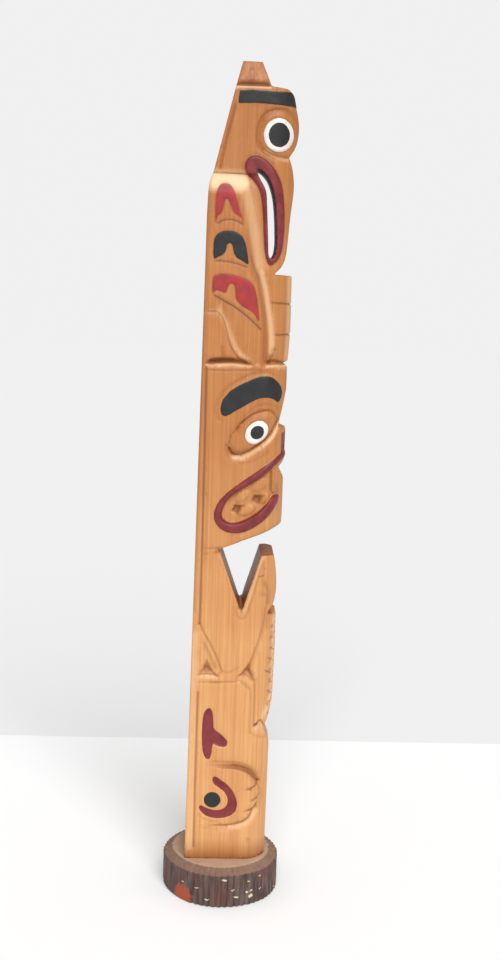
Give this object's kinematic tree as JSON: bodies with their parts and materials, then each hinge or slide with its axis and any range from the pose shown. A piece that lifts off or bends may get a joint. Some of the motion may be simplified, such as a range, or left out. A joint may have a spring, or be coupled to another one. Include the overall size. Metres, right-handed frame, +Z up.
{
  "type": "totem pole",
  "caption": "Slim carved wooden totem pole with a beaked bird over a bear-like head and a crouching figure, flat back, painted marks, on a bark-edged slice of branch.",
  "frame": {"origin": "centre of the bounding box of the base's underside", "axes": "+Z up the pole, the figures face -Y, the flat back is towards +Y, +X is the figures' left side"},
  "size_m": [0.0508, 0.05, 0.3472],
  "materials": {
    "carved_wood": "oiled, painted marks",
    "bark_wood": "natural bark, sawn faces"
  },
  "bodies": {
    "root": {"carved_pole": "carved_wood", "log_base": "bark_wood"}
  },
  "joints": []
}
